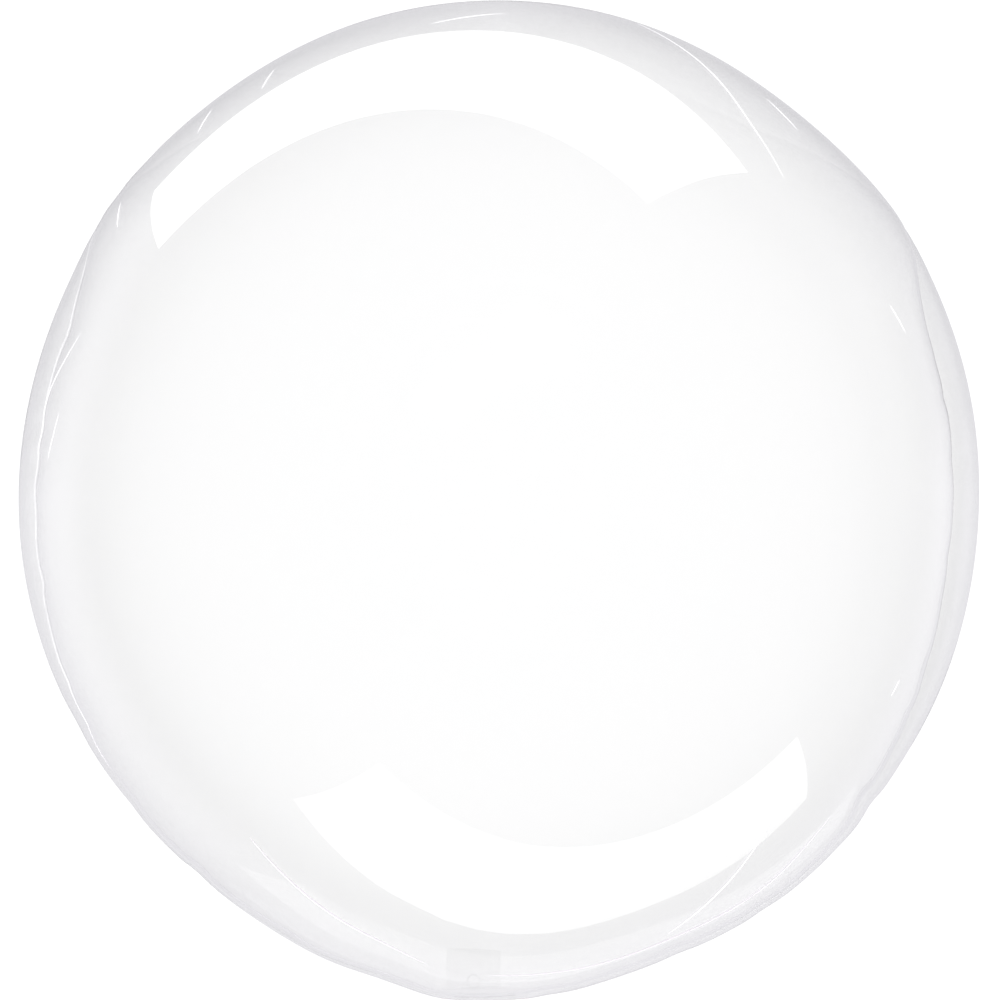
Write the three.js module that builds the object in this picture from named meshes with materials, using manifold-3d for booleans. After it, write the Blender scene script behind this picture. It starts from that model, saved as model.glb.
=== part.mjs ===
// A clear bubble balloon: two sheets of stretch film welded round their edge and inflated to a
// nearly round ball, 560 mm tall as it lies, with the short tab that its neck was trimmed to.
// Millimetres, +Z up. The front sheet faces -Y. The ball lies on a small flat spot, whose
// centre is the origin.

import * as THREE from "three";
import { mergeVertices } from "three/addons/utils/BufferGeometryUtils.js";
import Module from "manifold-3d";

const wasm = await Module();
wasm.setup();

// The inflated ball, to its outermost film, and how far back of its middle it lies.
const BALL_HEIGHT = 563;
const BALL_WIDTH = 539;
const BALL_DEPTH = 548;
const FLAT_SPOT_RADIUS = 36;
const FLAT_SPOT_SETBACK = 10;

// How the film departs from an ellipsoid, as shares of its radius: its shoulders are fuller
// than its lower half, it is a little pear-shaped, and its diagonals are a little flat.
const SHOULDERS = 0.0066;
const PEAR = 0.0032;
const FLATNESS = 0.0048;

// The weld, as an angle from the middle of the front sheet. It runs in front of the widest
// part at the sides and below, passes behind it over the top, and is twisted a little. It
// turns from one course to the next between two heights, given as angles above or below the
// middle.
const WELD_ANGLE_SIDE = 71;
const WELD_ANGLE_LOW = 80;
const WELD_ANGLE_TOP = 108;
const WELD_ANGLE_TWIST = 1;
const LOW_COURSE_FROM_ANGLE = -6;
const LOW_COURSE_TO_ANGLE = -53;
const TOP_COURSE_FROM_ANGLE = 20.5;
const TOP_COURSE_TO_ANGLE = 72;

// The weld doesn't stretch as the film does, so the ball is drawn in along it, most of all at
// the right, and hardly over the top. The groove is wider at both sides than below.
const GROOVE_DEPTH = 5;
const GROOVE_DEPTH_RIGHT = 12;
const GROOVE_DEPTH_TOP = 0.5;
const GROOVE_REACH = 14;
const GROOVE_REACH_SIDE = 34;
const GROOVE_RIGHT_ANGLE = -5;
const GROOVE_RIGHT_FULL_ANGLE = 25;
const GROOVE_RIGHT_END_ANGLE = 43;
const GROOVE_LEFT_ANGLE = 180;
const GROOVE_LEFT_FULL_ANGLE = 22;
const GROOVE_LEFT_END_ANGLE = 48;
const GROOVE_TOP_FROM_ANGLE = 26;
const GROOVE_TOP_TO_ANGLE = 38;
const WELD_BEAD_HEIGHT = 2;
const WELD_BEAD_THICKNESS = 2;

// The valve tab, the neck's trimmed end below the weld, a little left of the middle.
const TAB_WIDTH = 34;
const TAB_LENGTH = 4.5;
const TAB_THICKNESS = 1;
const TAB_CORNER_RADIUS = 1.5;
const TAB_OFFSET = -8.5;
const TAB_GAP = 0.3;

// How finely the film is faceted: the steps round the weld, the rows of each sheet, and the
// rows beside the weld, by their distance from it. The turned ball has its weld at one angle.
const STEPS_AROUND = 80;
const FRONT_ROWS = 14;
const REAR_ROWS = 18;
const GROOVE_ROWS_AT = [4, 9, 16, 26, 42];
const TURNED_WELD_ANGLE = 80;
const ARC_STEPS = 12;

const DOWN = -Math.PI / 2;
const meanRadius = BALL_HEIGHT / 2;
const turnedWeld = THREE.MathUtils.degToRad(TURNED_WELD_ANGLE);

// The film's own radius in a direction, before the weld draws it in. fromFront is the angle
// from the middle of the front sheet, and around runs from +X towards +Z.
function filmRadius(fromFront, around) {
  const across = Math.sin(fromFront);
  const x = (across * Math.cos(around)) / (BALL_WIDTH / 2);
  const y = Math.cos(fromFront) / (BALL_DEPTH / 2);
  const z = (across * Math.sin(around)) / (BALL_HEIGHT / 2);
  const fullness = SHOULDERS * Math.sin(around) + PEAR * Math.sin(3 * around)
    - FLATNESS * (1 - Math.cos(4 * around));
  return (1 + across * across * fullness) / Math.hypot(x, y, z);
}

// How far a direction has risen, or sunk, from one height to another, from 0 to 1.
function courseShare(around, fromAngle, toAngle) {
  const [from, to] = [fromAngle, toAngle].map((angle) => Math.sin(THREE.MathUtils.degToRad(angle)));
  const share = THREE.MathUtils.clamp((Math.sin(around) - from) / (to - from), 0, 1);
  return THREE.MathUtils.smoothstep(share, 0, 1);
}

// The weld's angle from the middle of the front sheet.
function weldAngle(around) {
  const top = (WELD_ANGLE_TOP - WELD_ANGLE_SIDE)
    * courseShare(around, TOP_COURSE_FROM_ANGLE, TOP_COURSE_TO_ANGLE);
  const low = (WELD_ANGLE_LOW - WELD_ANGLE_SIDE)
    * courseShare(around, LOW_COURSE_FROM_ANGLE, LOW_COURSE_TO_ANGLE);
  const twist = WELD_ANGLE_TWIST * Math.sin(2 * around);
  return THREE.MathUtils.degToRad(WELD_ANGLE_SIDE + top + low + twist);
}

// How near a direction is to another one: 1 within one angle of it, and 0 past another.
function sideShare(around, towardsAngle, fullAngle, endAngle) {
  const [towards, full, end] = [towardsAngle, fullAngle, endAngle].map(THREE.MathUtils.degToRad);
  return THREE.MathUtils.smoothstep(Math.cos(around - towards), Math.cos(end), Math.cos(full));
}

// How far the film is drawn in, at a distance from the weld.
function grooveDepth(fromWeld, around) {
  const right = sideShare(
    around, GROOVE_RIGHT_ANGLE, GROOVE_RIGHT_FULL_ANGLE, GROOVE_RIGHT_END_ANGLE,
  );
  const left = sideShare(around, GROOVE_LEFT_ANGLE, GROOVE_LEFT_FULL_ANGLE, GROOVE_LEFT_END_ANGLE);
  const low = GROOVE_DEPTH + (GROOVE_DEPTH_RIGHT - GROOVE_DEPTH) * right;
  const top = (GROOVE_DEPTH_TOP - low)
    * courseShare(around, GROOVE_TOP_FROM_ANGLE, GROOVE_TOP_TO_ANGLE);
  const reach = GROOVE_REACH + (GROOVE_REACH_SIDE - GROOVE_REACH) * (left + right);
  return (low + top) * Math.exp(-Math.abs(fromWeld) / reach);
}

// A point of the film, from the ball's centre. raised lifts it off the film, as on the bead.
function filmPoint(fromFront, around, raised = 0) {
  const fromWeld = (fromFront - weldAngle(around)) * meanRadius;
  const radius = filmRadius(fromFront, around) - grooveDepth(fromWeld, around) + raised;
  const across = Math.sin(fromFront) * radius;
  return new THREE.Vector3(
    across * Math.cos(around),
    -Math.cos(fromFront) * radius,
    across * Math.sin(around),
  );
}

// A shape's bare points and triangles, with the points that lie together made one.
function joined(geometry) {
  const bare = geometry.clone();
  bare.deleteAttribute("normal");
  bare.deleteAttribute("uv");
  return mergeVertices(bare, 1e-4);
}

function toManifold(geometry) {
  const { attributes, index } = joined(geometry);
  const mesh = new wasm.Mesh({
    numProp: 3,
    vertProperties: new Float32Array(attributes.position.array),
    triVerts: new Uint32Array(index.array),
  });
  return new wasm.Manifold(mesh);
}

function toGeometry(solid) {
  const mesh = solid.getMesh();
  const geometry = new THREE.BufferGeometry();
  geometry.setAttribute("position", new THREE.BufferAttribute(mesh.vertProperties, 3));
  geometry.setIndex(new THREE.BufferAttribute(mesh.triVerts, 1));
  geometry.computeVertexNormals();
  return geometry;
}

// The rows of the turned ball, from the middle of the front sheet to the middle of the rear
// one: each is an angle, and how far it is raised. They crowd together at the weld.
function ballRows() {
  const beside = (distance) => distance / meanRadius;
  const last = beside(GROOVE_ROWS_AT.at(-1));
  const rows = [];
  for (let i = 1; i < FRONT_ROWS; i += 1) rows.push([((turnedWeld - last) * i) / FRONT_ROWS, 0]);
  for (const at of GROOVE_ROWS_AT.toReversed()) rows.push([turnedWeld - beside(at), 0]);
  rows.push([turnedWeld - beside(WELD_BEAD_THICKNESS / 2), 0]);
  rows.push([turnedWeld - beside(WELD_BEAD_THICKNESS / 3), WELD_BEAD_HEIGHT]);
  rows.push([turnedWeld + beside(WELD_BEAD_THICKNESS / 3), WELD_BEAD_HEIGHT]);
  rows.push([turnedWeld + beside(WELD_BEAD_THICKNESS / 2), 0]);
  for (const at of GROOVE_ROWS_AT) rows.push([turnedWeld + beside(at), 0]);
  const rear = Math.PI - turnedWeld - last;
  for (let i = 1; i < REAR_ROWS; i += 1) {
    rows.push([turnedWeld + last + (rear * i) / REAR_ROWS, 0]);
  }
  return rows;
}

// Where a row of the turned ball goes once the weld is bent: the rows near the weld move with
// it, and those near the middle of each sheet stay.
function bentAngle(turned, around) {
  const share = turned < turnedWeld
    ? turned / turnedWeld
    : (Math.PI - turned) / (Math.PI - turnedWeld);
  return turned + (weldAngle(around) - turnedWeld) * THREE.MathUtils.smoothstep(share, 0, 1);
}

// An even turned ball, shaped by moving each of its points to where the film is. Its points
// are joined first, so that its seam and both its poles stay closed.
function ballGeometry() {
  const profile = [new THREE.Vector2(0, -meanRadius)];
  for (const [angle, raised] of ballRows()) {
    const radius = meanRadius + raised;
    profile.push(new THREE.Vector2(radius * Math.sin(angle), -radius * Math.cos(angle)));
  }
  profile.push(new THREE.Vector2(0, meanRadius));
  const ball = joined(new THREE.LatheGeometry(profile, STEPS_AROUND));
  const position = ball.attributes.position;
  const point = new THREE.Vector3();
  for (let i = 0; i < position.count; i += 1) {
    point.fromBufferAttribute(position, i);
    const turned = Math.acos(THREE.MathUtils.clamp(-point.y / point.length(), -1, 1));
    const around = Math.atan2(point.z, point.x);
    const raised = Math.max(point.length() - meanRadius, 0);
    const moved = filmPoint(bentAngle(turned, around), around, raised);
    position.setXYZ(i, moved.x, moved.y, moved.z);
  }
  return ball;
}

// The ball's centre, so high that the ground cuts the film in a spot of the stated radius.
function ballCentre() {
  const lowest = filmPoint(Math.PI / 2 + FLAT_SPOT_SETBACK / meanRadius, DOWN);
  const sag = FLAT_SPOT_RADIUS ** 2 / BALL_DEPTH;
  return new THREE.Vector3(0, -FLAT_SPOT_SETBACK, -lowest.z - sag);
}

// The film ball, cut flat where it lies on the ground.
function balloonFilm(centre) {
  const ball = ballGeometry().translate(centre.x, centre.y, centre.z);
  const ground = new THREE.BoxGeometry(BALL_WIDTH, BALL_DEPTH, BALL_HEIGHT);
  ground.translate(0, 0, -BALL_HEIGHT / 2);
  return toManifold(ball).subtract(toManifold(ground));
}

// The tab: a flat strip with two round corners. Its upper edge follows the weld's bead, a
// small gap away from it.
function valveTab(film, centre) {
  const around = DOWN + TAB_OFFSET / meanRadius;
  const root = filmPoint(weldAngle(around), around, WELD_BEAD_HEIGHT);
  const half = TAB_WIDTH / 2;
  const corner = TAB_CORNER_RADIUS;
  const outline = new THREE.Shape();
  outline.moveTo(half, TAB_LENGTH / 2);
  outline.lineTo(-half, TAB_LENGTH / 2);
  outline.lineTo(-half, corner - TAB_LENGTH);
  outline.absarc(corner - half, corner - TAB_LENGTH, corner, Math.PI, 1.5 * Math.PI, false);
  outline.absarc(half - corner, corner - TAB_LENGTH, corner, 1.5 * Math.PI, 2 * Math.PI, false);
  outline.closePath();
  const strip = new THREE.ExtrudeGeometry(outline, {
    depth: TAB_THICKNESS,
    bevelEnabled: false,
    curveSegments: ARC_STEPS,
  });
  strip.rotateX(Math.PI / 2);
  strip.translate(TAB_OFFSET, centre.y + root.y + TAB_THICKNESS / 2, centre.z + root.z);
  const away = root.setX(0).setLength(TAB_GAP);
  return toManifold(strip).subtract(film.translate(away.toArray())).subtract(film);
}

function clearFilm(color, roughness) {
  return new THREE.MeshStandardMaterial({
    color, roughness, metalness: 0, transparent: true, opacity: 0.3,
  });
}

function piece(name, solid, finish) {
  const mesh = new THREE.Mesh(toGeometry(solid), finish);
  mesh.name = name;
  return mesh;
}

const centre = ballCentre();
const film = balloonFilm(centre);
const balloon = new THREE.Group();
balloon.name = "bubble_balloon";
balloon.add(piece("balloon_film", film, clearFilm(0xf6f8fb, 0.04)));
balloon.add(piece("valve_tab", valveTab(film, centre), clearFilm(0xeceef1, 0.2)));

export default balloon;
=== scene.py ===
import math

import bpy
import numpy as np
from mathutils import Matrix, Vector


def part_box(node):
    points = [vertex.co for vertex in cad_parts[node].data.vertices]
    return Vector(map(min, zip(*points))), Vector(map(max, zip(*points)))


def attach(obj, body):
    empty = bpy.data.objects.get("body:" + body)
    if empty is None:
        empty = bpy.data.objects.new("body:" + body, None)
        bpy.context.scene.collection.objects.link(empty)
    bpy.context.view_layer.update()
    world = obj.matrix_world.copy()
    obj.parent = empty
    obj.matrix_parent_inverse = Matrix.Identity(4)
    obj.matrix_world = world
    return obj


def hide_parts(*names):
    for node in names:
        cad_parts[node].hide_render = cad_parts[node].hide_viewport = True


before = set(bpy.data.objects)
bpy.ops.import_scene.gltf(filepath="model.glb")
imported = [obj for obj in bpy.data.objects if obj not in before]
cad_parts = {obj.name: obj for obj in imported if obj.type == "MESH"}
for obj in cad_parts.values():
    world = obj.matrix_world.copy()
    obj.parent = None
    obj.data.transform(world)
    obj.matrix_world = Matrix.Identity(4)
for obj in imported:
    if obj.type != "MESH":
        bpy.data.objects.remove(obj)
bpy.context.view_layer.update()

bl_info = {
    "name": "Clear bubble balloon",
    "version": (1, 0, 0),
    "blender": (4, 5, 0),
    "location": "3D View > Sidebar > Balloon",
    "description": "Builds a clear film balloon, its weld and valve tab, and a small studio",
    "category": "Object",
}

MM = 0.001


def linear(code):
    """An sRGB hex colour as linear red, green, blue and alpha."""
    parts = [int(code[i:i + 2], 16) / 255 for i in (1, 3, 5)]
    return [c / 12.92 if c <= 0.04045 else ((c + 0.055) / 1.055) ** 2.4 for c in parts] + [1.0]


# Settings


class BalloonEnvelopeSettings(bpy.types.PropertyGroup):
    """The inflated ball, in the same sizes as its solid"""
    height: bpy.props.FloatProperty(
        name="Height", description="The ball's height before it lies on its flat spot",
        default=563 * MM, unit="LENGTH")
    width: bpy.props.FloatProperty(
        name="Width", description="The ball's width, side to side",
        default=539 * MM, unit="LENGTH")
    depth: bpy.props.FloatProperty(
        name="Depth", description="The ball's depth, front to back",
        default=548 * MM, unit="LENGTH")
    film_thickness: bpy.props.FloatProperty(
        name="Film thickness", description="Wall of the film, drawn thicker than the real one",
        default=0.2 * MM, unit="LENGTH")
    flat_spot_radius: bpy.props.FloatProperty(
        name="Flat spot radius", description="Radius of the patch that the ball lies on",
        default=36 * MM, unit="LENGTH")
    flat_spot_setback: bpy.props.FloatProperty(
        name="Flat spot setback", description="How far behind the ball's middle the patch is",
        default=10 * MM, unit="LENGTH")


class BalloonWeldSettings(bpy.types.PropertyGroup):
    """The weld that joins the two sheets"""
    angle_side: bpy.props.FloatProperty(
        name="Angle at the sides", description="From the middle of the front sheet",
        default=math.radians(71), subtype="ANGLE")
    angle_low: bpy.props.FloatProperty(
        name="Angle below", description="From the middle of the front sheet",
        default=math.radians(80), subtype="ANGLE")
    angle_top: bpy.props.FloatProperty(
        name="Angle over the top", description="From the middle of the front sheet",
        default=math.radians(108), subtype="ANGLE")
    angle_twist: bpy.props.FloatProperty(
        name="Twist", description="How far the weld leans from one diagonal to the other",
        default=math.radians(1), subtype="ANGLE")
    groove: bpy.props.FloatProperty(
        name="Groove depth", description="How far the weld draws the film in",
        default=5 * MM, unit="LENGTH")
    groove_right: bpy.props.FloatProperty(
        name="Groove depth at the right", description="How far the weld draws the film in",
        default=12 * MM, unit="LENGTH")
    groove_top: bpy.props.FloatProperty(
        name="Groove depth over the top", description="How far the weld draws the film in",
        default=0.5 * MM, unit="LENGTH")
    groove_reach: bpy.props.FloatProperty(
        name="Groove reach", description="Distance over which the groove fades",
        default=14 * MM, unit="LENGTH")
    groove_reach_side: bpy.props.FloatProperty(
        name="Groove reach at the sides", description="Distance over which the groove fades",
        default=34 * MM, unit="LENGTH")
    bead_height: bpy.props.FloatProperty(
        name="Bead height", description="How far the welded edge stands off the film",
        default=0.5 * MM, unit="LENGTH")
    bead_width: bpy.props.FloatProperty(
        name="Bead width", description="Thickness of the welded edge",
        default=0.7 * MM, unit="LENGTH")
    pleats: bpy.props.IntProperty(
        name="Pleats", description="Small gathers of the film along the weld", default=46)


class BalloonTabSettings(bpy.types.PropertyGroup):
    """The short tab that the valve's neck was trimmed to"""
    thickness: bpy.props.FloatProperty(
        name="Thickness", description="Its welded layers", default=0.3 * MM, unit="LENGTH")
    gather_depth: bpy.props.FloatProperty(
        name="Gather depth", description="How far the trimmed neck waves to and fro",
        default=0.7 * MM, unit="LENGTH")
    tongue_width: bpy.props.FloatProperty(
        name="Tongue width", description="The valve's film inside the ball",
        default=30 * MM, unit="LENGTH")
    tongue_length: bpy.props.FloatProperty(
        name="Tongue length", description="Up from the weld", default=21 * MM, unit="LENGTH")
    tongue_offset: bpy.props.FloatProperty(
        name="Tongue offset", description="Left of the ball's middle",
        default=-14.7 * MM, unit="LENGTH")
    ring_radius: bpy.props.FloatProperty(
        name="Ring radius", description="The round mark pressed in the tongue",
        default=3.4 * MM, unit="LENGTH")


def colour_setting(name, description, code):
    return bpy.props.FloatVectorProperty(
        name=name, description=description, default=linear(code), size=4, min=0, max=1,
        subtype="COLOR")


class BalloonFinishSettings(bpy.types.PropertyGroup):
    """The film's finish"""
    film: colour_setting("Film", "The blown film, quite clear", "#FFFFFF")
    # A crease's colour also glows, as painted light, and its flank colour is painted shade.
    crease: colour_setting("Crease", "The lit flank of a crease, where film whitens", "#FCFCFD")
    flank: colour_setting("Crease flank", "The shaded flank of a crease", "#B4AEB6")
    tongue: colour_setting("Valve tongue", "The valve's layers, seen through the film", "#A9ABB2")
    ring: colour_setting("Valve ring", "The round mark pressed in the tongue", "#8C8F97")


def settings(name):
    return getattr(bpy.context.scene, "balloon_" + name)


# The film's shape


def smooth(value, low, high):
    share = np.clip((value - low) / (high - low), 0, 1)
    return share * share * (3 - 2 * share)


# How the film departs from an ellipsoid, as shares of its radius: its shoulders are fuller
# than its lower half, it is a little pear-shaped, and its diagonals are a little flat.
SHOULDERS = 0.0066
PEAR = 0.0032
FLATNESS = 0.0048

# The weld's angle on the even ball that the film is shaped from.
TURNED_WELD = math.radians(80)

# Between which heights the weld turns from one course to the next, and its groove fades over
# the top, as angles in degrees above or below the middle.
TOP_COURSE = (20.5, 72)
LOW_COURSE = (-6, -53)
GROOVE_TOP = (26, 38)

# Where the groove is widest: a direction in degrees, how near it that is full, and where it ends.
RIGHT_SIDE = (-5, 25, 43)
LEFT_SIDE = (180, 22, 48)

# The larger gathers, dents and swells of the outline: a direction in degrees, then in mm the
# depth, which is below 0 for a swell, the width, and the reach from the weld.
PLEAT_SEED = 11
DENTS = (
    (-39, 2.4, 8, 60), (-97, -1.6, 26, 60), (-46, 0.8, 9, 40), (-57, 0.9, 9, 50),
    (-68.5, 1.0, 9, 45), (207, 1.0, 12, 60), (219, 1.0, 10, 50), (231, 0.9, 10, 50),
    (127, 0.8, 9, 50), (136, 0.7, 9, 50), (141, 0.7, 9, 50),
    (-72, 4.8, 62, 130), (-122, 3.0, 88, 130), (-104, 2.0, 26, 110),
    (135, -1.8, 88, 130), (108, -1.5, 55, 130), (57, 1.9, 48, 130),
    (33, -1.2, 50, 130), (144, -1.5, 40, 130),
    (22, -2.8, 110, 260), (-28, -2.6, 90, 260), (190, -1.8, 140, 260),
)


def film_radius(from_front, around):
    """The film's own distance from the ball's middle, before the weld draws it in."""
    ball = settings("envelope")
    across = np.sin(from_front)
    x = across * np.cos(around) / (ball.width / 2)
    y = np.cos(from_front) / (ball.depth / 2)
    z = across * np.sin(around) / (ball.height / 2)
    fullness = SHOULDERS * np.sin(around) + PEAR * np.sin(3 * around)
    fullness = fullness - FLATNESS * (1 - np.cos(4 * around))
    return (1 + across ** 2 * fullness) / np.sqrt(x * x + y * y + z * z)


def course_share(around, start, end):
    """How far a direction has risen, or sunk, between two heights given as angles."""
    return smooth(np.sin(around), math.sin(math.radians(start)), math.sin(math.radians(end)))


def side_share(around, towards, full, end):
    """How near a direction is to another one: 1 within an angle of it, and 0 past one."""
    apart = np.cos(around - math.radians(towards))
    return smooth(apart, math.cos(math.radians(end)), math.cos(math.radians(full)))


def weld_angle(around):
    weld = settings("weld")
    top = (weld.angle_top - weld.angle_side) * course_share(around, *TOP_COURSE)
    low = (weld.angle_low - weld.angle_side) * course_share(around, *LOW_COURSE)
    return weld.angle_side + top + low + weld.angle_twist * np.sin(2 * around)


def groove_depth(from_weld, around):
    weld = settings("weld")
    right = side_share(around, *RIGHT_SIDE)
    left = side_share(around, *LEFT_SIDE)
    deepest = weld.groove + (weld.groove_right - weld.groove) * right
    deepest = deepest + (weld.groove_top - deepest) * course_share(around, *GROOVE_TOP)
    reach = weld.groove_reach + (weld.groove_reach_side - weld.groove_reach) * (left + right)
    return deepest * np.exp(-np.abs(from_weld) / reach)


def film_points(from_front, around, lift=0.0):
    """Points of the film from the ball's middle, lifted off it by a distance."""
    mean = settings("envelope").height / 2
    from_weld = (from_front - weld_angle(around)) * mean
    radius = film_radius(from_front, around) - groove_depth(from_weld, around) + lift
    across = np.sin(from_front) * radius
    return np.stack(
        [across * np.cos(around), -np.cos(from_front) * radius, across * np.sin(around)], -1)


def ball_centre():
    ball = settings("envelope")
    lowest = film_points(
        np.array(math.pi / 2 + ball.flat_spot_setback / (ball.height / 2)), np.array(-math.pi / 2))
    sag = ball.flat_spot_radius ** 2 / ball.depth
    return np.array([0, -ball.flat_spot_setback, -lowest[2] - sag])


def pleat_lift(from_front, around):
    """The small gathers along the weld, shallower over the top, and the outline's dents."""
    weld = settings("weld")
    mean = settings("envelope").height / 2
    rng = np.random.default_rng(PLEAT_SEED)
    from_weld = (from_front - weld_angle(around)) * mean
    lift = np.zeros_like(from_front)
    pleats = []
    for k in range(weld.pleats):
        at = (k + rng.uniform(0.1, 0.9)) / weld.pleats * 2 * math.pi - math.pi
        depth = rng.uniform(0.3, 1.3) * MM * (0.35 if math.sin(at) > 0.5 else 1)
        pleats.append((at, depth, rng.uniform(5, 11) * MM, rng.uniform(14, 40) * MM))
    for degrees, depth, width, reach in DENTS:
        pleats.append((math.radians(degrees), depth * MM, width * MM, reach * MM))
    for at, depth, width, reach in pleats:
        gap = (around - at + math.pi) % (2 * math.pi) - math.pi
        beside = gap * mean * np.sin(from_front) / width
        lift = lift - depth * np.exp(-beside ** 2) * np.exp(-(from_weld / reach) ** 2)
    return lift


# Making and finishing pieces


def deselect_all():
    if bpy.context.object and bpy.context.object.mode != "OBJECT":
        bpy.ops.object.mode_set(mode="OBJECT")
    bpy.ops.object.select_all(action="DESELECT")


def place_points(obj, points):
    obj.data.vertices.foreach_set("co", np.asarray(points, dtype=np.float32).ravel())
    obj.data.update()


def settle(obj, name):
    """Names a finished piece, and puts its place into its mesh."""
    obj.name = name
    obj.data.name = name
    deselect_all()
    obj.select_set(True)
    bpy.context.view_layer.objects.active = obj
    bpy.ops.object.transform_apply(location=True, rotation=True, scale=True)
    return obj


def mark_flanks(obj, across, shade):
    """Keeps, in a UV map, how far across a crease each point is, and how much painted shade it
    gets.
    """
    marks = obj.data.uv_layers.get("flanks") or obj.data.uv_layers.new(name="flanks")
    points = np.empty(len(obj.data.loops), dtype=np.int32)
    obj.data.loops.foreach_get("vertex_index", points)
    pairs = np.stack([np.asarray(across)[points], np.asarray(shade)[points]], 1)
    marks.data.foreach_set("uv", pairs.astype(np.float32).ravel())


def wear(obj, material):
    obj.data.materials.clear()
    obj.data.materials.append(material)


def add(tree, kind, put=None, **links):
    """Adds a node, sets its values and properties, and links its inputs."""
    node = tree.nodes.new(kind)
    for key, value in (put or {}).items():
        if isinstance(key, str) and hasattr(node, key):
            setattr(node, key, value)
        else:
            node.inputs[key].default_value = value
    for key, socket in links.items():
        place = int(key[1:]) if key[0] == "i" and key[1:].isdigit() else key.replace("_", " ")
        tree.links.new(socket, node.inputs[place])
    return node


def blank_material(name):
    material = bpy.data.materials.new(name)
    material.use_nodes = True
    material.node_tree.nodes.clear()
    return material


# Stretch film of polyurethane or a like plastic, blown out thin: perfectly smooth and clear,
# with a mirror gloss. Shallow ripples about 110 mm long, from uneven stretching, bend what is
# seen in it a little.
def film_material():
    material = blank_material("clear stretch film, blown")
    tree = material.node_tree
    place = add(tree, "ShaderNodeTexCoord")
    ripple = add(tree, "ShaderNodeTexNoise", {"Scale": 9.0, "Detail": 1.0, "Roughness": 0.4},
                 Vector=place.outputs["Object"])
    bump = add(tree, "ShaderNodeBump", {"Strength": 0.12, "Distance": 0.4 * MM},
               Height=ripple.outputs["Fac"])
    shader = add(tree, "ShaderNodeBsdfPrincipled", {
        "Base Color": tuple(settings("finish").film), "Roughness": 0.0, "IOR": 1.49,
        "Transmission Weight": 1.0,
    }, Normal=bump.outputs["Normal"])
    add(tree, "ShaderNodeOutputMaterial", Surface=shader.outputs["BSDF"])
    return material


# The same film, folded or welded so sharply that it whitens a little, without gloss: the more
# it is folded, the less see-through it is. Its outer flank is the lit one; its inner flank is
# painted darker as shade, the more so the more it is folded. It also glows, as painted light
# that stands in for light reaching the whitened film through the clear film. The whitening
# comes and goes every 8 mm or so.
def crease_material(name):
    finish = settings("finish")
    material = blank_material(name)
    tree = material.node_tree
    marks = add(tree, "ShaderNodeUVMap", {"uv_map": "flanks"})
    parts = add(tree, "ShaderNodeSeparateXYZ", Vector=marks.outputs["UV"])
    inner = add(tree, "ShaderNodeMapRange", {
        "interpolation_type": "SMOOTHSTEP", "From Min": 0.62, "From Max": 0.42},
        Value=parts.outputs["X"])
    shaded = add(tree, "ShaderNodeMath", {"operation": "MULTIPLY"},
                 i0=inner.outputs["Result"], i1=parts.outputs["Y"])
    place = add(tree, "ShaderNodeTexCoord")
    grain = add(tree, "ShaderNodeTexNoise", {"Scale": 125.0, "Detail": 2.0},
                Vector=place.outputs["Object"])
    patchy = add(tree, "ShaderNodeMapRange", {"From Min": 0.3, "From Max": 0.7, "To Max": 0.3},
                 Value=grain.outputs["Fac"])
    dark = add(tree, "ShaderNodeMath", {"operation": "MAXIMUM"},
               i0=shaded.outputs[0], i1=patchy.outputs["Result"])
    # Painted shade: the inner flank darkens to the flank colour, and random patches of the
    # whitening do too.
    colour = add(tree, "ShaderNodeMix", {
        "data_type": "RGBA", 6: tuple(finish.crease), 7: tuple(finish.flank)},
        i0=dark.outputs[0])
    dense = add(tree, "ShaderNodeMapRange", {"To Min": 0.16, "To Max": 0.5},
                Value=parts.outputs["Y"])
    # The emission is painted light, a glow that the real film doesn't have.
    shader = add(tree, "ShaderNodeBsdfPrincipled", {
        "Roughness": 0.5, "IOR": 1.49, "Specular IOR Level": 0.2, "Emission Strength": 0.9},
        Base_Color=colour.outputs[2], Emission_Color=colour.outputs[2],
        Alpha=dense.outputs["Result"])
    add(tree, "ShaderNodeOutputMaterial", Surface=shader.outputs["BSDF"])
    return material


# Flat layers of the same film, welded in a press: a faint haze, with the press's grain of about
# 2 mm, and so clear that it hardly shows inside the ball.
def layered_material(name, colour, alpha):
    material = blank_material(name)
    tree = material.node_tree
    place = add(tree, "ShaderNodeTexCoord")
    grain = add(tree, "ShaderNodeTexNoise", {"Scale": 500.0, "Detail": 2.0},
                Vector=place.outputs["Object"])
    bump = add(tree, "ShaderNodeBump", {"Strength": 0.3, "Distance": 0.2 * MM},
               Height=grain.outputs["Fac"])
    shader = add(tree, "ShaderNodeBsdfPrincipled", {
        "Base Color": tuple(colour), "Roughness": 0.4, "IOR": 1.49, "Specular IOR Level": 0.2,
        "Alpha": alpha}, Normal=bump.outputs["Normal"])
    add(tree, "ShaderNodeOutputMaterial", Surface=shader.outputs["BSDF"])
    return material


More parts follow.
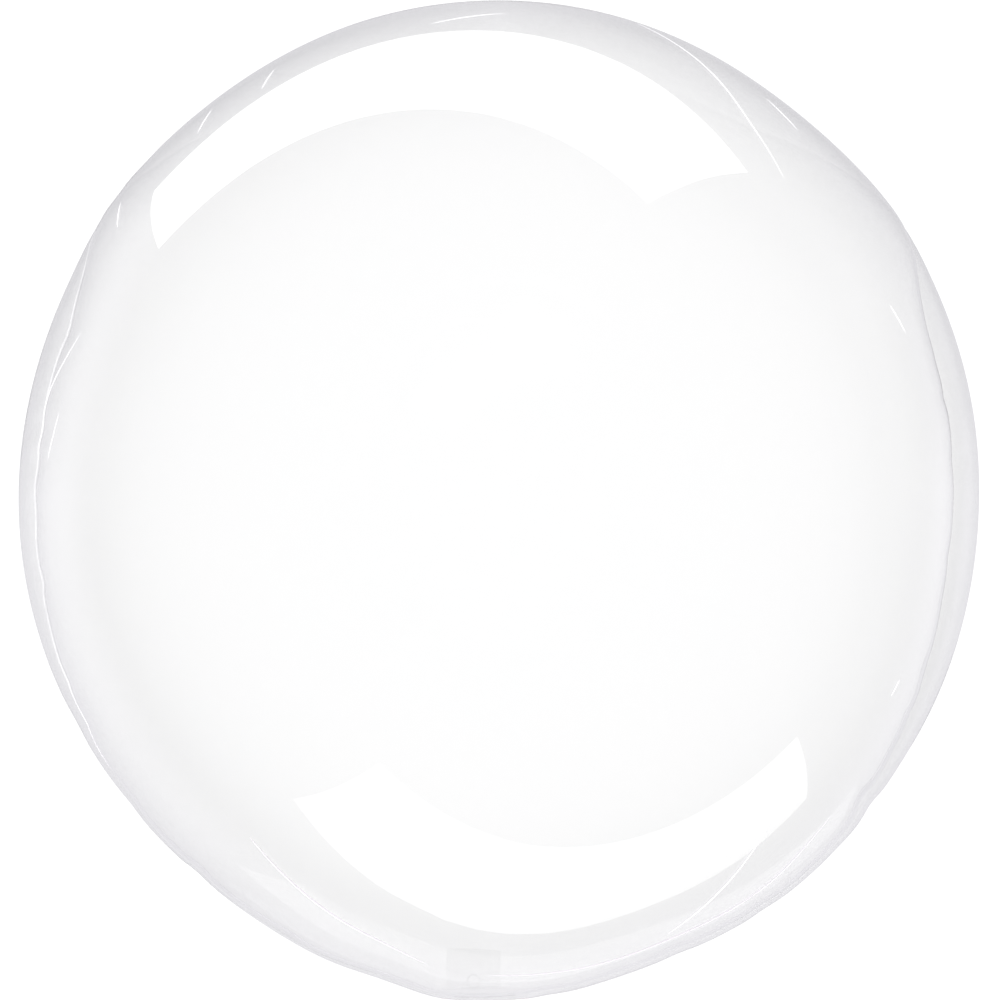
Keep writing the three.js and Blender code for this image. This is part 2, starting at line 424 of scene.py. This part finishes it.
class BALLOON_OT_envelope(bpy.types.Operator):
    """Makes the blown film, as a thin closed wall"""
    bl_idname = "balloon.envelope"
    bl_label = "Film envelope"

    columns = 320
    rings = 150

    def execute(self, context):
        ball = settings("envelope")
        deselect_all()
        bpy.ops.mesh.primitive_uv_sphere_add(
            segments=self.columns, ring_count=self.rings, radius=1.0,
            rotation=(math.pi / 2, 0, 0))
        film = settle(context.object, "clear_film")
        count = len(film.data.vertices)
        points = np.empty(count * 3, dtype=np.float32)
        film.data.vertices.foreach_get("co", points)
        points = points.reshape(-1, 3).astype(float)
        turned = np.arccos(np.clip(-points[:, 1], -1, 1))
        around = np.arctan2(points[:, 2], points[:, 0])
        turned = self.gather(turned)
        share = np.where(
            turned < TURNED_WELD, turned / TURNED_WELD,
            (math.pi - turned) / (math.pi - TURNED_WELD))
        from_front = turned + (weld_angle(around) - TURNED_WELD) * smooth(share, 0, 1)
        placed = film_points(from_front, around, pleat_lift(from_front, around))
        placed = placed + ball_centre()
        placed[:, 2] = self.flatten(placed[:, 2])
        place_points(film, placed)
        deselect_all()
        film.select_set(True)
        context.view_layer.objects.active = film
        bpy.ops.object.mode_set(mode="EDIT")
        bpy.ops.mesh.select_all(action="SELECT")
        bpy.ops.mesh.normals_make_consistent(inside=False)
        bpy.ops.object.mode_set(mode="OBJECT")
        bpy.ops.object.shade_smooth()
        wall = film.modifiers.new("wall", "SOLIDIFY")
        wall.thickness = ball.film_thickness
        wall.offset = -1
        bpy.ops.object.modifier_apply(modifier=wall.name)
        wear(film, film_material())
        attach(film, "root")
        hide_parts("balloon_film")
        return {"FINISHED"}

    @staticmethod
    def gather(turned):
        """Crowds the rings towards the weld, where the film bends most."""
        even = turned / math.pi
        at = TURNED_WELD / math.pi
        near = np.where(even < at, (at - even) / at, (even - at) / (1 - at))
        crowded = 0.35 * near + 0.65 * near ** 2
        return np.where(even < at, at - crowded * at, at + crowded * (1 - at)) * math.pi

    @staticmethod
    def flatten(heights):
        """The film lies on the ground and turns up from it in a soft edge."""
        edge = 0.25 * MM
        share = np.minimum(heights / edge, 6)
        return np.where(heights > 6 * edge, heights, edge * np.log1p(np.exp(share)))


# How far the bead stands off the film, between which heights, in degrees, its inner flank is
# painted darker below as shade and grows less clear, and how much of it is left over the top.
BEAD_SEED = 5
BEAD_GAP = 0.45 * MM
BEAD_SHADED = (-15, -40)
BEAD_FADE_TOP = 0.85


class BALLOON_OT_weld(bpy.types.Operator):
    """Makes the welded edge that stands along the groove"""
    bl_idname = "balloon.weld"
    bl_label = "Weld bead"

    columns = 256

    def execute(self, context):
        weld = settings("weld")
        mean = settings("envelope").height / 2
        half = weld.bead_width / 2 / mean
        section = [
            (side, BEAD_GAP + share * weld.bead_height) for side, share in (
                (-1, 0), (-1.05, 0.5), (-0.8, 0.9), (0, 1), (0.8, 0.9), (1.05, 0.5), (1, 0))]
        deselect_all()
        bpy.ops.mesh.primitive_torus_add(
            major_segments=self.columns, minor_segments=len(section), major_radius=1.0,
            minor_radius=0.1, rotation=(math.pi / 2, 0, 0))
        bead = settle(context.object, "weld_bead")
        around = np.linspace(0, 2 * math.pi, self.columns, endpoint=False)
        rng = np.random.default_rng(BEAD_SEED)
        wobble = sum(
            rng.uniform(0.04, 0.12) * np.sin(k * around + rng.uniform(0, 6.28))
            for k in (17, 29, 43, 61))
        over = 1 - BEAD_FADE_TOP * course_share(around, *GROOVE_TOP)
        rings = []
        for side, lift in section:
            from_front = weld_angle(around) + side * half * over
            tall = BEAD_GAP + (lift - BEAD_GAP) * (1 + wobble) * over
            rings.append(film_points(
                from_front, around, pleat_lift(from_front, around) + tall))
        placed = np.stack(rings, 1).reshape(-1, 3) + ball_centre()
        place_points(bead, placed)
        deselect_all()
        bead.select_set(True)
        context.view_layer.objects.active = bead
        bpy.ops.object.mode_set(mode="EDIT")
        bpy.ops.mesh.select_all(action="SELECT")
        bpy.ops.mesh.normals_make_consistent(inside=False)
        bpy.ops.object.mode_set(mode="OBJECT")
        bpy.ops.object.shade_flat()
        # Below, the bead's inner flank is painted darker, as shade.
        shade = np.repeat(course_share(around, *BEAD_SHADED), len(section))
        mark_flanks(bead, np.tile([(side + 1.05) / 2.1 for side, _ in section], len(around)), shade)
        wear(bead, crease_material("film whitened along the weld, painted shade and glow"))
        # It isn't seen mirrored in the film, and throws no shadow on it.
        bead.visible_glossy = bead.visible_shadow = False
        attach(bead, "root")
        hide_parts("balloon_film")
        return {"FINISHED"}


# A crease's width, that of a sharply folded one, its height, how far it stands off the film,
# and its wall.
CREASE_WIDTH = 1.1 * MM
SHARP_CREASE_WIDTH = 1.8 * MM
CREASE_HEIGHT = 0.3 * MM
CREASE_GAP = 0.5 * MM
CREASE_WALL = 0.1 * MM

# Each crease: how sharply it is folded, from 0 to 1, which also sets how much painted shade its
# inner flank gets, and its path, in degrees round the ball and from the middle of the front sheet.
CREASES = (
    (1.0, ((233, 52.7), (243, 56.4), (250, 58.8), (255, 60.2), (261, 63))),
    (1.0, ((268.4, 64.2), (277.3, 65.3), (282, 66.5), (296.3, 66.3), (305, 66.3), (312.8, 63),
           (316.6, 62.5))),
    (0.25, ((74, 77.5), (65.4, 69.7), (57, 60.6), (48.9, 55.1))),
    (0.2, ((56.7, 71.6), (51.3, 68.7))),
    (0.2, ((27.1, 56.5), (22.8, 57.7))),
    (0.2, ((98.3, 67.8), (89.4, 69.9))),
    (0.3, ((117.4, 72.6), (119.9, 67.6))),
    (0.3, ((126.2, 73.6), (129.3, 68.7))),
    (0.3, ((141.5, 72.4), (144.2, 66.7))),
    (0.2, ((157.6, 62.3), (162, 64.9), (167.5, 70.2), (174.6, 69.9))),
    (0.2, ((168.3, 61.8), (174.5, 63.5))),
    (0.5, ((336.3, 57.9), (333.8, 57.6))),
    (0.5, ((309.3, 53.3), (298.3, 60), (291.3, 64.2))),
)


class BALLOON_OT_creases(bpy.types.Operator):
    """Makes the fine standing creases of the blown film"""
    bl_idname = "balloon.creases"
    bl_label = "Film creases"

    def execute(self, context):
        strips = [self.strip(context, path, shade) for shade, path in CREASES]
        deselect_all()
        for strip in strips:
            strip.select_set(True)
        context.view_layer.objects.active = strips[0]
        bpy.ops.object.join()
        creases = context.view_layer.objects.active
        creases.name = creases.data.name = "film_creases"
        wall = creases.modifiers.new("wall", "SOLIDIFY")
        wall.thickness = CREASE_WALL
        wall.offset = -1
        deselect_all()
        creases.select_set(True)
        context.view_layer.objects.active = creases
        bpy.ops.object.modifier_apply(modifier=wall.name)
        bpy.ops.object.shade_flat()
        wear(creases, crease_material("film whitened along a crease, painted shade and glow"))
        # They aren't seen mirrored in the film, and throw no shadow on it.
        creases.visible_glossy = creases.visible_shadow = False
        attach(creases, "root")
        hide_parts("balloon_film")
        return {"FINISHED"}

    @staticmethod
    def strip(context, path, shade):
        """One arched strip along a path of angles around and from the front."""
        width = SHARP_CREASE_WIDTH if shade == 1 else CREASE_WIDTH
        marks = np.radians(np.array(path, dtype=float))
        length = np.concatenate([[0], np.cumsum(np.hypot(*np.diff(marks, axis=0).T))])
        count = int(8 + length[-1] * 40)
        along = np.linspace(0, length[-1], count)
        around = np.interp(along, length, marks[:, 0])
        from_front = np.interp(along, length, marks[:, 1])
        for _ in range(count // 4 if len(path) > 2 else 0):
            around[1:-1] = (around[:-2] + around[1:-1] + around[2:]) / 3
            from_front[1:-1] = (from_front[:-2] + from_front[1:-1] + from_front[2:]) / 3
        step_around = np.gradient(around) * np.sin(from_front)
        step_front = np.gradient(from_front)
        size = np.hypot(step_around, step_front)
        mean = settings("envelope").height / 2
        taper = np.sin(np.linspace(0, math.pi, count)) ** 0.5
        rows = []
        for side in np.linspace(-1, 1, 5):
            shift = side * width / 2 * taper / mean
            placed_around = around - shift * step_front / size / np.sin(from_front)
            placed_front = from_front + shift * step_around / size
            rise = CREASE_GAP + CREASE_HEIGHT * taper * (1 - side ** 2)
            lift = pleat_lift(placed_front, placed_around) + rise
            rows.append(film_points(placed_front, placed_around, lift))
        deselect_all()
        bpy.ops.mesh.primitive_grid_add(x_subdivisions=count - 1, y_subdivisions=4, size=1)
        piece = context.object
        flat = np.empty(len(piece.data.vertices) * 3, dtype=np.float32)
        piece.data.vertices.foreach_get("co", flat)
        flat = flat.reshape(-1, 3)
        column = np.rint((flat[:, 0] + 0.5) * (count - 1)).astype(int)
        row = np.rint((flat[:, 1] + 0.5) * 4).astype(int)
        place_points(piece, np.stack(rows)[row, column] + ball_centre())
        outward = np.sign(step_around)[column] * (row - 2) / 4
        # How sharply it is folded also sets how much painted shade its inner flank gets.
        mark_flanks(piece, 0.5 + outward, np.full(len(row), shade))
        return piece


class BALLOON_OT_tab(bpy.types.Operator):
    """Makes the neck's trimmed end below the weld, gathered a little"""
    bl_idname = "balloon.tab"
    bl_label = "Valve tab"

    def execute(self, context):
        tab = settings("tab")
        low, high = (Vector(v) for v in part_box("valve_tab"))
        middle = (low + high) / 2
        deselect_all()
        bpy.ops.mesh.primitive_grid_add(
            x_subdivisions=60, y_subdivisions=6, size=1, location=middle,
            rotation=(math.pi / 2, 0, 0))
        context.object.scale = (high.x - low.x, high.z - low.z, 1)
        piece = settle(context.object, "valve_tab_film")
        points = np.array([v.co for v in piece.data.vertices])
        share = (points[:, 0] - low.x) / (high.x - low.x)
        down = (high.z - points[:, 2]) / (high.z - low.z)
        gathers = np.sin(share * 31) + 0.6 * np.sin(share * 53 + 1.7)
        points[:, 1] += tab.gather_depth * gathers * (0.35 + 0.65 * down)
        points[:, 2] += 0.5 * MM * down * (1 + np.sin(share * 17 + 0.4))
        place_points(piece, points)
        wall = piece.modifiers.new("wall", "SOLIDIFY")
        wall.thickness = tab.thickness
        deselect_all()
        piece.select_set(True)
        context.view_layer.objects.active = piece
        bpy.ops.object.modifier_apply(modifier=wall.name)
        bpy.ops.object.shade_smooth()
        finish = settings("finish")
        wear(piece, layered_material("film layers of the trimmed neck", finish.crease, 0.1))
        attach(piece, "root")
        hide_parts("valve_tab")
        return {"FINISHED"}


class BALLOON_OT_tongue(bpy.types.Operator):
    """Makes the valve's tongue of film, which stands up inside the ball, and its ring mark"""
    bl_idname = "balloon.tongue"
    bl_label = "Valve tongue"

    def execute(self, context):
        tab = settings("tab")
        finish = settings("finish")
        around = -math.pi / 2 + tab.tongue_offset / (settings("envelope").height / 2)
        root = film_points(weld_angle(np.array(around)), np.array(around), -2 * MM) + ball_centre()
        middle = (tab.tongue_offset, root[1], root[2] + tab.tongue_length / 2)
        deselect_all()
        bpy.ops.mesh.primitive_grid_add(
            x_subdivisions=20, y_subdivisions=14, size=1, location=middle,
            rotation=(math.pi / 2, 0, 0))
        context.object.scale = (tab.tongue_width, tab.tongue_length, 1)
        tongue = settle(context.object, "valve_tongue")
        wall = tongue.modifiers.new("wall", "SOLIDIFY")
        wall.thickness = 0.15 * MM
        bpy.ops.object.modifier_apply(modifier=wall.name)
        wear(tongue, layered_material("film layers of the valve", finish.tongue, 0.03))
        deselect_all()
        bpy.ops.mesh.primitive_torus_add(
            major_segments=48, minor_segments=8, major_radius=tab.ring_radius,
            minor_radius=0.45 * MM, rotation=(math.pi / 2, 0, 0),
            location=(middle[0], middle[1] - 0.6 * MM, root[2] + tab.ring_radius + 1 * MM))
        ring = settle(context.object, "valve_ring")
        wear(ring, layered_material("film pressed to a ring", finish.ring, 0.05))
        deselect_all()
        ring.select_set(True)
        tongue.select_set(True)
        context.view_layer.objects.active = tongue
        bpy.ops.object.join()
        points = np.array([v.co for v in tongue.data.vertices])
        up = (points[:, 2] - root[2]) / tab.tongue_length
        aside = (points[:, 0] - middle[0]) / tab.tongue_width
        # It leans back towards its top, its sides curl forward, and its top edge is uneven.
        points[:, 1] += 4 * MM * up ** 2 - 6 * MM * aside ** 2
        points[:, 2] += 2.5 * MM * up * (0.5 - aside) * (1 + aside)
        place_points(tongue, points)
        bpy.ops.object.shade_smooth()
        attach(tongue, "root")
        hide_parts("valve_tab")
        return {"FINISHED"}


# The studio

# The camera looks level from this far in front of the ball's middle, in metres.
CAMERA_DISTANCE = 2.122
CAMERA_HEIGHT = 0.28
CAMERA_LENS = 135

# Light passes many layers of film, so many bounces are followed.
LIGHT_BOUNCES = 40

# The softbox's corners are in metres from the ball's centre.
BACKDROP_LEVEL = 1.12
SOFTBOX_LEVEL = 1.5
SOFTBOX_CORNERS = (
    (-3.16, 3.96, 2.85), (-4.94, 2.46, 3.68), (2.44, -1.14, 4.52), (2.61, 1.12, 3.27))


# The surroundings as the film mirrors them: dim round the camera and bright beyond the
# balloon, from one share of the way ahead to another. The far side is dimmer upwards, in its
# upper corners, and a little to the right.
NEAR_LEVEL = 0.29
FAR_LEVEL = 0.83
FAR_LEVEL_MOST = 0.85
AHEAD_FROM = 0.32
AHEAD_TO = 0.80
DIMMER_UPWARDS = 0.25
DIMMER_IN_CORNERS = 1.5
CORNER_MOST = 0.075
DIMMER_TO_THE_RIGHT = 0.48


class BALLOON_OT_studio(bpy.types.Operator):
    """Makes the camera, floor, background and lights"""
    bl_idname = "balloon.studio"
    bl_label = "Studio"

    def execute(self, context):
        self.camera(context)
        self.floor()
        self.softbox()
        self.surroundings(context)
        context.scene.view_settings.view_transform = "Standard"
        cycles = context.scene.cycles
        cycles.max_bounces = cycles.transmission_bounces = cycles.glossy_bounces = LIGHT_BOUNCES
        return {"FINISHED"}

    def camera(self, context):
        centre = ball_centre()
        data = bpy.data.cameras.new("camera")
        data.lens = CAMERA_LENS
        data.sensor_width = 36
        camera = bpy.data.objects.new("camera", data)
        context.scene.collection.objects.link(camera)
        camera.location = (0, centre[1] - CAMERA_DISTANCE, CAMERA_HEIGHT)
        camera.rotation_euler = (math.pi / 2, 0, 0)
        context.scene.camera = camera

    def floor(self):
        deselect_all()
        bpy.ops.mesh.primitive_plane_add(size=80, location=(0, 0, 0))
        floor = settle(bpy.context.object, "floor")
        material = blank_material("pale floor, evenly lit")
        tree = material.node_tree
        path = add(tree, "ShaderNodeLightPath")
        mirrored = add(tree, "ShaderNodeMath", {"operation": "GREATER_THAN", 1: 0.5},
                       i0=path.outputs["Glossy Depth"])
        light = add(tree, "ShaderNodeEmission", {
            "Color": linear("#FFFFFF"), "Strength": BACKDROP_LEVEL})
        clear = add(tree, "ShaderNodeBsdfTransparent")
        seen = add(tree, "ShaderNodeMixShader", i0=mirrored.outputs[0],
                   i1=light.outputs["Emission"], i2=clear.outputs["BSDF"])
        add(tree, "ShaderNodeOutputMaterial", Surface=seen.outputs["Shader"])
        wear(floor, material)

    def softbox(self):
        centre = ball_centre()
        corners = [tuple(np.array(c) + centre) for c in SOFTBOX_CORNERS]
        mesh = bpy.data.meshes.new("softbox")
        mesh.from_pydata(corners, [], [(0, 1, 2, 3)])
        box = bpy.data.objects.new("softbox", mesh)
        bpy.context.scene.collection.objects.link(box)
        material = blank_material("softbox cloth, lit from inside")
        tree = material.node_tree
        light = add(tree, "ShaderNodeEmission", {
            "Color": linear("#FFFFFF"), "Strength": SOFTBOX_LEVEL})
        add(tree, "ShaderNodeOutputMaterial", Surface=light.outputs["Emission"])
        wear(box, material)
        box.visible_camera = False

    def surroundings(self, context):
        world = bpy.data.worlds.new("studio")
        context.scene.world = world
        world.use_nodes = True
        tree = world.node_tree
        tree.nodes.clear()
        place = add(tree, "ShaderNodeTexCoord")
        xyz = add(tree, "ShaderNodeSeparateXYZ", Vector=place.outputs["Generated"])
        ahead = add(tree, "ShaderNodeMapRange", {
            "interpolation_type": "SMOOTHSTEP", "From Min": AHEAD_FROM, "From Max": AHEAD_TO},
            Value=xyz.outputs["Y"])
        far = add(tree, "ShaderNodeMath", {
            "operation": "MULTIPLY_ADD", 1: -DIMMER_UPWARDS, 2: FAR_LEVEL}, i0=xyz.outputs["Z"])
        side = add(tree, "ShaderNodeMath", {"operation": "ABSOLUTE"}, i0=xyz.outputs["X"])
        corner = add(tree, "ShaderNodeMath", {"operation": "MULTIPLY", "use_clamp": True},
                     i0=side.outputs[0], i1=xyz.outputs["Z"])
        dim = add(tree, "ShaderNodeMath", {"operation": "MINIMUM", 1: CORNER_MOST},
                  i0=corner.outputs[0])
        dimmed = add(tree, "ShaderNodeMath", {"operation": "MULTIPLY_ADD", 1: -DIMMER_IN_CORNERS},
                     i0=dim.outputs[0], i2=far.outputs[0])
        capped = add(tree, "ShaderNodeMath", {"operation": "MINIMUM", 1: FAR_LEVEL_MOST},
                     i0=dimmed.outputs[0])
        level = add(tree, "ShaderNodeMix", {"data_type": "FLOAT", 2: NEAR_LEVEL},
                    i0=ahead.outputs["Result"], i3=capped.outputs[0])
        square = add(tree, "ShaderNodeMath", {"operation": "MULTIPLY"},
                     i0=ahead.outputs["Result"], i1=ahead.outputs["Result"])
        between = add(tree, "ShaderNodeMath", {"operation": "SUBTRACT"},
                      i0=ahead.outputs["Result"], i1=square.outputs[0])
        beside = add(tree, "ShaderNodeMath", {"operation": "MULTIPLY"},
                     i0=between.outputs[0], i1=xyz.outputs["X"])
        leaning = add(tree, "ShaderNodeMath", {
            "operation": "MULTIPLY_ADD", 1: -DIMMER_TO_THE_RIGHT},
            i0=beside.outputs[0], i2=level.outputs[0])
        path = add(tree, "ShaderNodeLightPath")
        mirrored = add(tree, "ShaderNodeMath", {"operation": "GREATER_THAN", 1: 0.5},
                       i0=path.outputs["Glossy Depth"])
        strength = add(tree, "ShaderNodeMix", {"data_type": "FLOAT", 2: BACKDROP_LEVEL},
                       i0=mirrored.outputs[0], i3=leaning.outputs[0])
        tint = add(tree, "ShaderNodeMix", {
            "data_type": "RGBA", 6: linear("#FFFFFF"), 7: linear("#FBFAFE")},
            i0=mirrored.outputs[0])
        light = add(tree, "ShaderNodeBackground", Color=tint.outputs[2],
                    Strength=strength.outputs[0])
        add(tree, "ShaderNodeOutputWorld", Surface=light.outputs["Background"])


class BALLOON_PT_panel(bpy.types.Panel):
    """Lists the balloon's pieces and their sizes"""
    bl_idname = "BALLOON_PT_panel"
    bl_label = "Clear bubble balloon"
    bl_space_type = "VIEW_3D"
    bl_region_type = "UI"
    bl_category = "Balloon"

    def draw(self, context):
        for group in GROUPS:
            box = self.layout.box()
            for name in GROUPS[group].__annotations__:
                box.prop(getattr(context.scene, "balloon_" + group), name)
        for operator in OPERATORS:
            self.layout.operator(operator.bl_idname)


GROUPS = {
    "envelope": BalloonEnvelopeSettings,
    "weld": BalloonWeldSettings,
    "tab": BalloonTabSettings,
    "finish": BalloonFinishSettings,
}
OPERATORS = (
    BALLOON_OT_studio, BALLOON_OT_envelope, BALLOON_OT_weld, BALLOON_OT_creases, BALLOON_OT_tab,
    BALLOON_OT_tongue)


def register():
    for name, group in GROUPS.items():
        bpy.utils.register_class(group)
        setattr(bpy.types.Scene, "balloon_" + name, bpy.props.PointerProperty(type=group))
    for item in (*OPERATORS, BALLOON_PT_panel):
        bpy.utils.register_class(item)


def unregister():
    for item in (BALLOON_PT_panel, *reversed(OPERATORS)):
        bpy.utils.unregister_class(item)
    for name, group in GROUPS.items():
        delattr(bpy.types.Scene, "balloon_" + name)
        bpy.utils.unregister_class(group)


def main():
    register()
    bpy.ops.balloon.studio()
    bpy.ops.balloon.envelope()
    bpy.ops.balloon.weld()
    bpy.ops.balloon.creases()
    bpy.ops.balloon.tab()
    bpy.ops.balloon.tongue()


if __name__ == "__main__":
    main()
